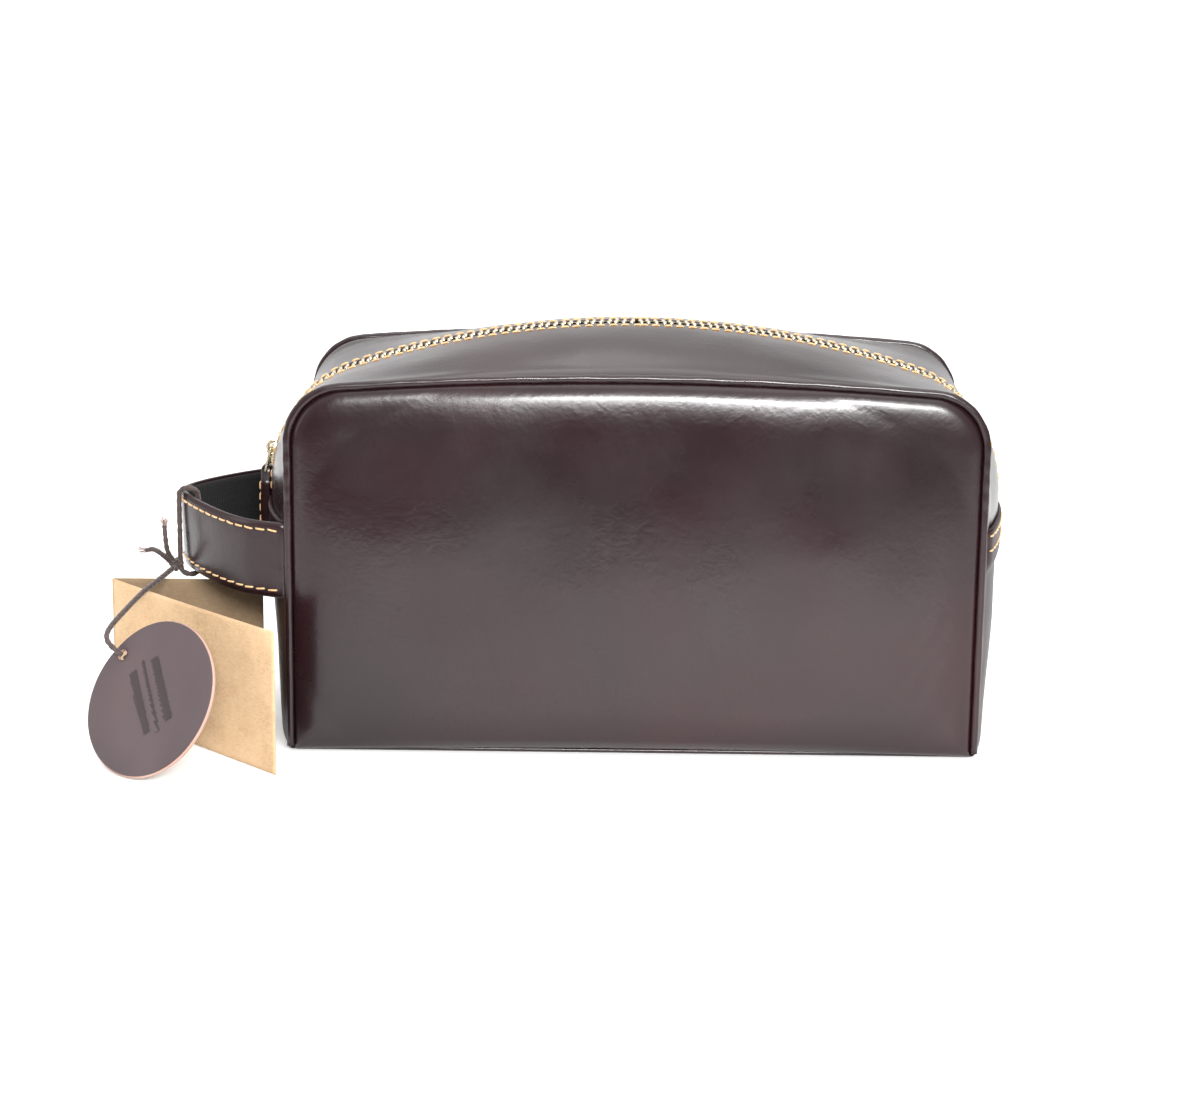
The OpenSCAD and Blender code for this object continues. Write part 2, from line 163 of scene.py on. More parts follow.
def new_object(name, verts, faces, material):
    """An object from millimetre points."""
    mesh = bpy.data.meshes.new(name)
    mesh.from_pydata([tuple(Vector(v) * MM) for v in verts], [], faces)
    mesh.update()
    bm = bmesh.new()
    bm.from_mesh(mesh)
    bmesh.ops.recalc_face_normals(bm, faces=bm.faces)
    bm.to_mesh(mesh)
    bm.free()
    for poly in mesh.polygons:
        poly.use_smooth = True
    obj = bpy.data.objects.new(name, mesh)
    bpy.context.collection.objects.link(obj)
    obj.data.materials.append(material)
    return obj


def slab(name, grid, outs, thickness, material, round_edge=0.35, cut=None):
    """A closed sheet from a grid of outer points and their outward directions.

    cut is a row that another sheet continues, so its edge stays flat.
    """
    n, m = len(grid), len(grid[0])
    verts = [p for row in grid for p in row]
    verts += [p - o * thickness for row, orow in zip(grid, outs) for p, o in zip(row, orow)]
    half = n * m
    faces = []
    for i in range(n - 1):
        for j in range(m - 1):
            a = i * m + j
            faces.append((a, a + 1, a + m + 1, a + m))
            faces.append((half + a, half + a + m, half + a + m + 1, half + a + 1))
    rim = [(i, 0) for i in range(n - 1)] + [(n - 1, j) for j in range(m - 1)]
    rim += [(i, m - 1) for i in range(n - 1, 0, -1)] + [(0, j) for j in range(m - 1, 0, -1)]
    first = len(verts)
    for i, j in rim:
        inward = grid[min(max(i, 1), n - 2)][min(max(j, 1), m - 2)]
        p = grid[i][j] - outs[i][j] * thickness / 2
        side = (grid[i][j] - inward)
        side -= side.dot(outs[i][j]) * outs[i][j]
        verts.append(p + side.normalized() * (0 if i == cut else round_edge))
    for k, (i, j) in enumerate(rim):
        i2, j2 = rim[(k + 1) % len(rim)]
        a, b = i * m + j, i2 * m + j2
        c, d = first + k, first + (k + 1) % len(rim)
        faces.append((a, b, d, c))
        faces.append((c, d, half + b, half + a))
    obj = new_object(name, verts, faces, material)
    if cut is not None:
        plain = set(range(cut * m, cut * m + m))
        for edge in obj.data.edges:
            edge.use_edge_sharp = set(edge.vertices) <= plain
    return obj


def skin_patch(name, t0, t1, nt, y0, y1, ny, lift, thickness, material, shape=None, cut=None):
    """A sheet over the skin. shape gives a further lift at a path value and depth."""
    grid, outs = [], []
    for i in range(nt + 1):
        row, orow = [], []
        for j in range(ny + 1):
            t, y = lerp(t0, t1, i / nt), lerp(y0, y1, j / ny)
            p, _, _, out = skin_frame(t, y)
            h = lift + (shape(t, y, p) if shape else 0)
            row.append(p + out * h)
            orow.append(out)
        grid.append(row)
        outs.append(orow)
    return slab(name, grid, outs, thickness, material, cut=cut)


def spline(points, per=6):
    """A smooth line through points, by Catmull-Rom."""
    pts = [Vector(p) for p in points]
    pts = [2 * pts[0] - pts[1]] + pts + [2 * pts[-1] - pts[-2]]
    line = []
    for i in range(1, len(pts) - 2):
        a, b, c, d = pts[i - 1:i + 3]
        for k in range(per):
            f = k / per
            line.append(0.5 * (2 * b + (c - a) * f + (2 * a - 5 * b + 4 * c - d) * f * f
                               + (3 * b - a - 3 * c + d) * f ** 3))
    line.append(pts[-2])
    return line


def frames_along(line):
    """Turn-free side directions along a line."""
    tangents = [(line[min(i + 1, len(line) - 1)] - line[max(i - 1, 0)]).normalized()
                for i in range(len(line))]
    side = tangents[0].orthogonal().normalized()
    sides = []
    for t in tangents:
        side = (side - side.dot(t) * t).normalized()
        sides.append((t, side.copy(), t.cross(side)))
    return sides


def tube_data(line, radius, sides=16):
    """Points and faces of a capped tube. radius is a number or a function of place and angle."""
    verts, faces = [], []
    travelled = 0.0
    for i, (p, (_, u, v)) in enumerate(zip(line, frames_along(line))):
        if i:
            travelled += (p - line[i - 1]).length
        for k in range(sides):
            a = 2 * math.pi * k / sides
            r = radius(travelled, a, i / (len(line) - 1)) if callable(radius) else radius
            verts.append(p + r * (math.cos(a) * u + math.sin(a) * v))
    for i in range(len(line) - 1):
        for k in range(sides):
            a, b, k2 = i * sides, (i + 1) * sides, (k + 1) % sides
            faces.append((a + k, a + k2, b + k2, b + k))
    faces.append(tuple(range(sides))[::-1])
    tip = (len(line) - 1) * sides
    faces.append(tuple(tip + k for k in range(sides)))
    return verts, faces


def tube(name, line, radius, material, sides=16):
    return new_object(name, *tube_data(line, radius, sides), material)


def merge(parts):
    """Joins several (points, faces) into one."""
    verts, faces = [], []
    for v, f in parts:
        base = len(verts)
        verts += v
        faces += [tuple(base + k for k in face) for face in f]
    return verts, faces


# ---- Materials ----

def nodes_of(name):
    """A new material, its node tree and its shader."""
    mat = bpy.data.materials.new(name)
    mat.use_nodes = True
    tree = mat.node_tree
    return mat, tree, tree.nodes["Principled BSDF"]


def coords(tree, scale=(1, 1, 1)):
    """Object coordinates, in metres."""
    where = tree.nodes.new("ShaderNodeTexCoord")
    mapping = tree.nodes.new("ShaderNodeMapping")
    mapping.inputs["Scale"].default_value = scale
    tree.links.new(where.outputs["Object"], mapping.inputs["Vector"])
    return mapping.outputs["Vector"]


def noise_node(tree, vector, scale, detail=4.0, rough=0.55, distortion=0.0):
    n = tree.nodes.new("ShaderNodeTexNoise")
    n.inputs["Scale"].default_value = scale
    n.inputs["Detail"].default_value = detail
    n.inputs["Roughness"].default_value = rough
    n.inputs["Distortion"].default_value = distortion
    tree.links.new(vector, n.inputs["Vector"])
    return n.outputs["Fac"]


def ramp(tree, value, stops):
    """Colours, or single grey levels, at places along a value."""
    r = tree.nodes.new("ShaderNodeValToRGB")
    while len(r.color_ramp.elements) < len(stops):
        r.color_ramp.elements.new(0.5)
    for e, (pos, col) in zip(r.color_ramp.elements, stops):
        e.position = pos
        e.color = (*col, 1) if len(col) == 3 else (col[0],) * 3 + (1,)
    tree.links.new(value, r.inputs["Fac"])
    return r.outputs["Color"]


def maths(tree, kind, a, b):
    m = tree.nodes.new("ShaderNodeMath")
    m.operation = kind
    for socket, v in zip(m.inputs, (a, b)):
        if isinstance(v, (int, float)):
            socket.default_value = v
        else:
            tree.links.new(v, socket)
    return m.outputs["Value"]


def bump(tree, height, strength, distance, after=None):
    b = tree.nodes.new("ShaderNodeBump")
    b.inputs["Strength"].default_value = strength
    b.inputs["Distance"].default_value = distance
    tree.links.new(height, b.inputs["Height"])
    if after is not None:
        tree.links.new(after, b.inputs["Normal"])
    return b.outputs["Normal"]


def leather_material(name, dark, mid, red, rough, coat=0.2, gloss=0.38):
    """Smooth waxed leather: mottled colour, fine grain, soft wrinkles and a thin gloss."""
    mat, tree, bsdf = nodes_of(name)
    at = coords(tree)
    mottle = ramp(tree, noise_node(tree, at, 13, 3, 0.5, 0.3), [(0.34, dark), (0.52, mid), (0.70, red)])
    tree.links.new(mottle, bsdf.inputs["Base Color"])
    worn = ramp(tree, noise_node(tree, at, 30, 3, 0.5), [(0.3, (rough - 0.05,)), (0.75, (rough + 0.07,))])
    tree.links.new(worn, bsdf.inputs["Roughness"])
    grain = bump(tree, noise_node(tree, at, 620, 2, 0.5), 0.22, 0.00022)
    soft = bump(tree, noise_node(tree, at, 150, 2, 0.5, 0.8), 0.16, 0.0006, grain)
    tree.links.new(soft, bsdf.inputs["Normal"])
    bsdf.inputs["Coat Weight"].default_value = coat
    bsdf.inputs["Coat Roughness"].default_value = 0.17
    bsdf.inputs["Specular IOR Level"].default_value = gloss
    return mat


def thread_material(name, light, dark):
    """Matt thread with fine fibres."""
    mat, tree, bsdf = nodes_of(name)
    at = coords(tree)
    colour = ramp(tree, noise_node(tree, at, 900, 3), [(0.3, dark), (0.7, light)])
    tree.links.new(colour, bsdf.inputs["Base Color"])
    tree.links.new(bump(tree, noise_node(tree, at, 2600, 3), 0.5, 0.0002), bsdf.inputs["Normal"])
    bsdf.inputs["Roughness"].default_value = 0.62
    bsdf.inputs["Sheen Weight"].default_value = 0.3
    return mat


def metal_material(name, colour, rough):
    """Slightly tarnished metal."""
    mat, tree, bsdf = nodes_of(name)
    at = coords(tree)
    tint = ramp(tree, noise_node(tree, at, 700, 4), [(0.3, tuple(c * 0.72 for c in colour)), (0.7, colour)])
    tree.links.new(tint, bsdf.inputs["Base Color"])
    worn = ramp(tree, noise_node(tree, at, 1400, 4), [(0.35, (rough,)), (0.7, (rough + 0.16,))])
    tree.links.new(worn, bsdf.inputs["Roughness"])
    tree.links.new(bump(tree, noise_node(tree, at, 1800, 3), 0.15, 0.0001), bsdf.inputs["Normal"])
    bsdf.inputs["Metallic"].default_value = 1.0
    return mat


def woven_material(name, dark, light, thread_scale, rough=0.85, sheen=0.2):
    """Woven cloth: two crossed sets of fine waves."""
    mat, tree, bsdf = nodes_of(name)
    at = coords(tree)
    heights = []
    for direction in ("X", "Z"):
        w = tree.nodes.new("ShaderNodeTexWave")
        w.bands_direction = direction
        w.inputs["Scale"].default_value = thread_scale
        w.inputs["Distortion"].default_value = 0.6
        tree.links.new(at, w.inputs["Vector"])
        heights.append(w.outputs["Fac"])
    weave = maths(tree, "MULTIPLY", heights[0], heights[1])
    tree.links.new(ramp(tree, weave, [(0.1, dark), (0.8, light)]), bsdf.inputs["Base Color"])
    tree.links.new(bump(tree, weave, 0.6, 0.0003), bsdf.inputs["Normal"])
    bsdf.inputs["Roughness"].default_value = rough
    bsdf.inputs["Sheen Weight"].default_value = sheen
    return mat


def kraft_material(name, shade):
    """Brown card with fibres and clouds. shade makes it darker."""
    mat, tree, bsdf = nodes_of(name)
    at = coords(tree)
    fibres = noise_node(tree, coords(tree, (1, 1, 3.5)), 520, 5, 0.65, 1.2)
    clouds = noise_node(tree, at, 55, 4, 0.6)
    both = maths(tree, "ADD", maths(tree, "MULTIPLY", fibres, 0.55), maths(tree, "MULTIPLY", clouds, 0.45))
    tones = ((0.34, (0.385, 0.245, 0.128)), (0.5, (0.52, 0.35, 0.198)), (0.66, (0.61, 0.43, 0.26)))
    colour = ramp(tree, both, [(place, tuple(c * shade for c in tone)) for place, tone in tones])
    tree.links.new(colour, bsdf.inputs["Base Color"])
    tree.links.new(bump(tree, fibres, 0.22, 0.00018), bsdf.inputs["Normal"])
    bsdf.inputs["Roughness"].default_value = 0.88
    return mat


HIDE = ((0.0100, 0.0038, 0.0048), (0.0145, 0.0045, 0.0058), (0.0195, 0.0048, 0.0058))
leather = leather_material("bag_leather", *HIDE, 0.29)
end_leather = leather_material("end_leather", *HIDE, 0.42, coat=0.0, gloss=0.16)
tag_leather = leather_material("tag_leather", (0.048, 0.034, 0.037), (0.068, 0.047, 0.050),
                               (0.086, 0.057, 0.058), 0.50, coat=0.05)
edge_leather = leather_material("raw_edge", (0.30, 0.17, 0.13), (0.42, 0.27, 0.22),
                                (0.52, 0.36, 0.30), 0.8, coat=0.0)
# Darker tag leather for the pressed bars: painted shade in their recesses.
pressed_painted_shade = leather_material("pressed_painted_shade", (0.024, 0.017, 0.019), (0.034, 0.024, 0.026),
                                   (0.044, 0.030, 0.031), 0.6, coat=0.0)
thread = thread_material("tan_thread", (0.74, 0.46, 0.21), (0.48, 0.27, 0.11))
brass = metal_material("pale_brass", (0.80, 0.70, 0.50), 0.22)
webbing = woven_material("black_webbing", (0.002, 0.002, 0.002), (0.010, 0.009, 0.010), 420, 0.9, 0.0)
lining = woven_material("lining_cloth", (0.05, 0.032, 0.022), (0.12, 0.08, 0.055), 900)
board = woven_material("grey_board", (0.12, 0.12, 0.12), (0.22, 0.22, 0.21), 300)
cord_mat = thread_material("waxed_cord", (0.060, 0.032, 0.026), (0.018, 0.010, 0.009))
fray_mat = thread_material("frayed_cord", (0.36, 0.22, 0.19), (0.12, 0.07, 0.06))
kraft = kraft_material("kraft", 1.0)
# A darker copy of the kraft: painted shade for the card's inner faces.
kraft_painted_shade = kraft_material("kraft_painted_shade", 0.38)


# ---- Leather panels ----

PANEL_INSET = 0.8       # from the seam's outline to the panel's rim
PANEL_RINGS = 84
PANEL_MIDDLE = 0.48     # the height of the rings' middle, as a share of the seam's
PANEL_BACK = 0.995      # the size of the panel's inner face
FLOOR_POINTS = 130
FLOOR_LIFT = 0.2        # the panel's lowest point over the floor
FLOOR_ARCH = 1.4        # how far the middle of the lower edge is off the floor
ROLL_W = 16
ROLL_RISE = 3.6
RIM_TUCK = 1.2
CROWN = 3.4
CROWN_MIDDLE = 58       # the height where the panel stands out most
CROWN_BELOW = 1.25      # how much further the crown reaches downwards
FRONT_SEED = 2
BACK_SEED = 9


def edge_distance(x, z):
    """Distance inside the front panel's outline."""
    top = SEAM_H - x * x / (2 * SEAM_TOP_R) - PANEL_INSET
    side = HALF_W - PANEL_INSET - abs(x)
    r = SEAM_R - PANEL_INSET
    up = top - z
    if side < r and up < r:
        return max(r - math.hypot(r - side, r - up), 0)
    low = z - FLOOR_ARCH * (1 - (x / HALF_W) ** 2)
    return max(min(side, up, low), 0)


def panel_out(x, z, seed):
    """How far the panel stands out of its seam plane."""
    d = edge_distance(x, z)
    f = min(d / ROLL_W, 1)
    rise = ROLL_RISE * math.sqrt(max(1 - (1 - f) ** 2, 0)) - RIM_TUCK * math.exp(-d / RIM_TUCK)
    crown_reach = SEAM_H - CROWN_MIDDLE if z > CROWN_MIDDLE else CROWN_MIDDLE * CROWN_BELOW
    up = (z - CROWN_MIDDLE) / crown_reach
    rise += CROWN * (1 - min(abs(x / HALF_W) ** 3 + abs(up) ** 2.4, 1)) * smooth(d / 5)
    away = smooth(d / 22)
    rise += away * (0.75 * ripple((x, 0, z), 62, seed) + 0.28 * ripple((x, 0, z), 24, seed + 3))
    if seed == FRONT_SEED:
        rise += away * front_wrinkles(x, z)
    return rise


def groove(distance, width):
    """A soft dent, 1 deep."""
    return -math.exp(-(distance / width) ** 2)


def front_wrinkles(x, z):
    """Upright creases in the middle of the front, slanting ones low on its right, and a scratch."""
    h = 0.0
    for k, (off, deep) in enumerate(((-14, 0.035), (-9, 0.06), (-4, 0.03), (2, 0.045))):
        line = off + 1.3 * math.sin(z / 15 + 1.9 * k) + 0.04 * (z - 90)
        reach = 27 + 6 * math.sin(2.3 * k)
        h += deep * groove(x - line, 1.7) * math.exp(-((z - 92) / reach) ** 2)
    for k in range(4):
        across = (x - 110) * 0.84 - (z - 44) * 0.54 + 6.5 * (k - 1.5) + 1.2 * math.sin(z / 5 + k)
        reach = math.hypot(x - 110, (z - 46) / 1.4)
        h += (0.30, 0.42, 0.36, 0.22)[k] * groove(across, 1.9) * math.exp(-(reach / 15) ** 2)
    scratch = (x - 6) * 0.83 + (z - 118) * 0.55 + 0.6 * math.sin(z / 3)
    h += 0.04 * groove(scratch, 1.2) * math.exp(-((z - 118) / 15) ** 4)
    return h


def panel_edge():
    """The panel's outline, evenly enough spaced for a smooth corner."""
    steps = [k / 30 for k in range(0, 30)] + [1 + k / 50 for k in range(0, 50)]
    steps += [2 + k / 180 for k in range(0, 91)]
    points = []
    for t in steps + [5 - s for s in reversed(steps)][1:]:
        x, z = seam(t)
        x2, z2 = seam(min(t + 0.001, 5))
        x1, z1 = seam(max(t - 0.001, 0))
        run = math.hypot(x2 - x1, z2 - z1)
        points.append((x + PANEL_INSET * (z2 - z1) / run, z - PANEL_INSET * (x2 - x1) / run))
    half = HALF_W - PANEL_INSET
    for k in range(1, FLOOR_POINTS):
        x = half * (1 - 2 * k / FLOOR_POINTS)
        points.append((x, FLOOR_ARCH * (1 - (x / HALF_W) ** 2)))
    points[0] = (points[0][0], FLOOR_LIFT)
    return points


def make_panel(name, node, seed, side):
    """The front or back panel: rings from its rim to its middle, crowned and rolled in."""
    edge = panel_edge()
    rings, n = PANEL_RINGS, len(edge)
    middle = (0.0, SEAM_H * PANEL_MIDDLE)
    verts = []
    for r in range(rings):
        k = 1 - r / rings
        for ex, ez in edge:
            x, z = lerp(middle[0], ex, k), lerp(middle[1], ez, k)
            verts.append(Vector((x, side * (HALF_D + panel_out(x, z, seed)), z)))
    verts.append(Vector((middle[0], side * (HALF_D + panel_out(*middle, seed)), middle[1])))
    centre = len(verts) - 1
    faces = []
    for r in range(rings - 1):
        for i in range(n):
            j = (i + 1) % n
            faces.append((r * n + i, r * n + j, (r + 1) * n + j, (r + 1) * n + i))
    for i in range(n):
        faces.append(((rings - 1) * n + i, (rings - 1) * n + (i + 1) % n, centre))
    back = len(verts)
    verts += [Vector((v.x * PANEL_BACK, v.y - side * LEATHER, max(v.z * PANEL_BACK, FLOOR_LIFT)))
              for v in verts[:n]]
    for i in range(n):
        j = (i + 1) % n
        faces.append((i, back + i, back + j, j))
    inner_centre = len(verts)
    verts.append(Vector((middle[0], side * (HALF_D + 1), middle[1])))
    for i in range(n):
        faces.append((back + i, inner_centre, back + (i + 1) % n))
    obj = new_object(name, verts, faces, leather)
    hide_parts(node)
    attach(obj, "bag")


make_panel("front_panel_skin", "front_panel", FRONT_SEED, -1)
make_panel("back_panel_skin", "back_panel", BACK_SEED, 1)


def gusset_shape(t, y, p):
    """Small unevenness of the gusset, and its roll down to the piping."""
    near = HALF_D - abs(y)
    swell = 0.55 * ripple(p, 38, 5) + 0.22 * ripple(p, 15, 8)
    inner = smooth((abs(y) - ZIP_GAP) / 14)
    tuck = 0.7 * math.exp(-near / 1.1)
    return swell * smooth((near - 1) / 9) * inner + 0.45 * math.exp(-((near - 4) / 3) ** 2) - tuck


# ---- The zip's strips and tapes ----

GUSSET_Y = HALF_D - 1.2
FRONT_GAP = 4.2         # from the zip's middle to the front strips
STRIP_STEPS = 120
TAPE_IN, TAPE_OUT = 3.4, 12
TAPE_T = 0.6
TAPE_DROP = {"front": 0.9, "back": 1.65}


def half_body(obj):
    """A piece of the zip strip, with its placement baked into its points."""
    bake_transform(obj)


def sides_of_zip():
    """The four quarters of the zip, each with its name's ending."""
    for front in (True, False):
        for left in (True, False):
            yield front, left, ("left" if left else "right") + "_" + ("front" if front else "back")


def half_range(left, foot=FOOT_T):
    """The path values of the left or right half, from the strip's foot to the middle."""
    return (foot, 2.5) if left else (2.5, 5 - foot)


for front, left, word in sides_of_zip():
    t0, t1 = half_range(left)
    row = "front" if front else "back"
    near, far = (-GUSSET_Y, -FRONT_GAP) if front else (ZIP_GAP, GUSSET_Y)
    strip = skin_patch("strip_" + word, t0, t1, STRIP_STEPS, near, far, 30, 0, LEATHER, leather, gusset_shape,
                       cut=STRIP_STEPS if left else 0)
    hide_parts(word.split("_")[0] + "_strip_" + row, "top_strip_" + row)
    half_body(strip)
    near, far = (-TAPE_OUT, -TAPE_IN) if front else (TAPE_IN, TAPE_OUT)
    tape = skin_patch("zip_tape_" + word, t0, t1, 90, near, far, 4, -TAPE_DROP[row], TAPE_T, webbing)
    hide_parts("tape_" + word, "tape_top_" + row)
    half_body(tape)


# ---- End panels, base and piping ----

LAP = 0.035             # how far the end panels lap over the strips, in path values
BASE_LOW = 0.05
BASE_HOLLOW = 1.0
BASE_T = 1.4
PIPING_LOW = 1.7        # the piping's centre stays this high over the floor


def end_shape(t, y, p):
    """The end panel's unevenness, with its top edge lifted over the strips."""
    up = t if t < 2.5 else 5 - t
    lap = 1.5 * smooth((up - FOOT_T + 0.16) / 0.06)
    near = HALF_D - abs(y)
    swell = 0.8 * ripple(p, 40, 12) + 0.3 * ripple(p, 17, 15)
    tuck = 0.7 * math.exp(-near / 1.1)
    return lap * smooth(near / 8) + swell * smooth(near / 12) * smooth(up / 0.2) - tuck


for left in (True, False):
    word = "left" if left else "right"
    t0, t1 = (0.004, FOOT_T + LAP) if left else (5 - FOOT_T - LAP, 4.996)
    panel = skin_patch(word + "_end_skin", t0, t1, 60, -GUSSET_Y, GUSSET_Y, 70, 0, LEATHER, end_leather,
                       end_shape)
    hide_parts(word + "_end_panel")
    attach(panel, "bag")


def make_base():
    """The base panel, slightly hollow under the middle."""
    ny, nx = 40, 80
    low, high = node_box("base_panel")
    grid, outs = [], []
    for i in range(nx + 1):
        row = []
        for j in range(ny + 1):
            y = lerp(low.y, high.y, j / ny)
            reach = abs(skin(0, y).x) - 2.0
            x = lerp(-reach, reach, i / nx)
            rim = min(reach - abs(x), high.y - abs(y))
            hollow = BASE_HOLLOW * smooth(rim / 30)
            uneven = 0.25 * abs(ripple((x, y, 0), 30, 4)) * smooth(rim / 12)
            row.append(Vector((x, y, BASE_LOW + hollow + uneven)))
        grid.append(row)
        outs.append([Vector((0, 0, -1))] * (ny + 1))
    obj = slab("base_skin", grid, outs, BASE_T, leather)
    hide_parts("base_panel")
    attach(obj, "bag")


make_base()


def make_piping(name, node, side):
    """The rolled edge in a seam, with the leather's slight puckering."""
    steps = [k / 14 for k in range(0, 14)] + [1 + k / 30 for k in range(0, 30)]
    steps += [2 + k / 70 for k in range(0, 36)]
    steps += [5 - s for s in reversed(steps)][1:]
    line = []
    for t in steps:
        x, z = seam(t)
        line.append(Vector((x, side * (HALF_D - 0.1), max(z, PIPING_LOW))))

    def radius(s, a, _):
        return 1.45 + 0.07 * math.sin(s * 0.9 + 1.5 * math.sin(s * 0.13)) + 0.05 * math.sin(a * 3 + s * 0.3)

    obj = tube(name, line, radius, leather, 20)
    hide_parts(node)
    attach(obj, "bag")


make_piping("front_rolled_edge", "front_piping", -1)
make_piping("back_rolled_edge", "back_piping", 1)


# ---- Stitches ----

THREAD_R = 0.36
STITCH_PITCH = 4.4
STITCH_LEN = 3.5
STITCH_TURN = 0.06
STITCH_Y = ZIP_GAP + 3
END_ROWS = (2.2, 7.6)           # how far the end panel's stitch rows lie below its top edge
END_PITCH = 4.6


def stitch_data(at, along, out, length, sink=0.5):
    """One sewn stitch: a fat thread that dips into its holes at both ends."""
    side = out.cross(along)
    rings, sides = 9, 8
    verts, faces = [], []
    for i in range(rings):
        f = i / (rings - 1) * 2 - 1
        centre = at + along * (f * length / 2) + out * (THREAD_R * 0.55 - sink * abs(f) ** 4)
        r = THREAD_R * (1 - 0.55 * abs(f) ** 5) * (1 + 0.06 * math.cos(f * 9))
        for k in range(sides):
            a = 2 * math.pi * k / sides
            verts.append(centre + r * (math.cos(a) * side + math.sin(a) * out))
    for i in range(rings - 1):
        for k in range(sides):
            a, b, k2 = i * sides, (i + 1) * sides, (k + 1) % sides
            faces.append((a + k, a + k2, b + k2, b + k))
    faces.append(tuple(range(sides))[::-1])
    faces.append(tuple((rings - 1) * sides + k for k in range(sides)))
    return verts, faces


def arc_steps(t0, t1, y, pitch):
    """Path values at an even pitch along the skin."""
    steps, t, travelled, want = [], t0, 0.0, pitch / 2
    dt = 0.002
    here = skin(t, y)
    while t < t1:
        there = skin(t + dt, y)
        travelled += (there - here).length
        if travelled >= want:
            steps.append(t + dt)
            want += pitch
        here, t = there, t + dt
    return steps


def stitched_row(name, steps, y, shape):
    """A row of stitches over the skin, each turned and sized a little differently."""
    random.seed(name)
    parts = []
    for t in steps:
        p, along, across, out = skin_frame(t, y)
        p = p + out * shape(t, y, p)
        lean = (along + across * STITCH_TURN * random.uniform(0.4, 1.6)).normalized()
        parts.append(stitch_data(p, lean, out, STITCH_LEN * random.uniform(0.94, 1.04)))
    return new_object(name, *merge(parts), thread)


for front, left, word in sides_of_zip():
    t0, t1 = half_range(left, FOOT_T + 0.06)
    y = -STITCH_Y if front else STITCH_Y
    row = stitched_row("zip_stitches_" + word, arc_steps(t0, t1, y, STITCH_PITCH), y, gusset_shape)
    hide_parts("zip_stitching_" + ("front" if front else "back"), "zip_stitching_" + word.split("_")[0])
    half_body(row)

end_rows = []
for drop in END_ROWS:
    t = 5 - FOOT_T - LAP + drop / KNEE_Z
    for k in range(-10, 11):
        y = k * END_PITCH
        p, along, across, out = skin_frame(t, y)
        end_rows.append(stitch_data(p + out * end_shape(t, y, p), across, out, STITCH_LEN))
end_stitches = new_object("end_tab_stitches", *merge(end_rows), thread)
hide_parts("end_tab_stitching")
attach(end_stitches, "bag")


# ---- Zip ----

TOOTH_DEPTH = 0.35
TOOTH_STEP = 0.0022             # the back row's teeth stand between the front row's
# Sections of a tooth: distance from the zip's middle, width and height.
TOOTH_SECTIONS = [(3.6, 0.75, 0.75), (3.0, 1.0, 1.0), (1.7, 0.92, 1.0), (1.35, 0.72, 0.86),
                  (0.9, 1.08, 0.92), (0.55, 0.8, 0.7)]
TOOTH_RING = [(-1, -0.6), (-0.6, -1), (0.6, -1), (1, -0.6), (1, 0.6), (0.6, 1), (-0.6, 1), (-1, 0.6)]


def tooth_data(at, along, across, out, side):
    """One metal tooth: a clamp on the tape's edge with a rounded, dimpled head."""
    half = TOOTH_PITCH * 0.25
    verts, faces = [], []
    for reach, wide, tall in TOOTH_SECTIONS:
        centre = at + across * (side * reach) - out * TOOTH_DEPTH
        for a, c in TOOTH_RING:
            verts.append(centre + along * (a * half * wide) + out * (c * 0.85 * tall))
    n, last = len(TOOTH_RING), len(TOOTH_SECTIONS) - 1
    for i in range(last):
        for k in range(n):
            k2 = (k + 1) % n
            faces.append((i * n + k, i * n + k2, (i + 1) * n + k2, (i + 1) * n + k))
    faces.append(tuple(range(n))[::-1])
    faces.append(tuple(last * n + k for k in range(n)))
    return verts, faces


for front, left, word in sides_of_zip():
    t0, t1 = half_range(left, FOOT_T + 0.02)
    side = -1 if front else 1
    steps = arc_steps(t0, t1, 0, TOOTH_PITCH)
    if not front:
        steps = [t + TOOTH_STEP if left else t - TOOTH_STEP for t in steps]
    parts = [tooth_data(*skin_frame(t, 0), side) for t in steps]
    teeth = new_object("zip_teeth_" + word, *merge(parts), brass)
    row = "front" if front else "back"
    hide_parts("teeth_" + word, "teeth_top_" + row)
    half_body(teeth)


def finish_node(node, material):
    """Gives a CAD node that stays visible its material."""
    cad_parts[node].data.materials.clear()
    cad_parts[node].data.materials.append(material)


for node in ("zip_stops", "slider_body", "pull_link"):
    finish_node(node, brass)


# ---- Pull tab ----

TAB_NECK = 2.9                  # half the tab's width where the link holds it
TAB_END_R = 4.5
TAB_SQUARE = 0.35               # 1 is an oval section, 0 a square one
TAB_STITCHES = 6
TAB_STITCH_PITCH = 4.2
TAB_STITCH_TOP = 7.5
TAB_STITCH_IN = 1.7


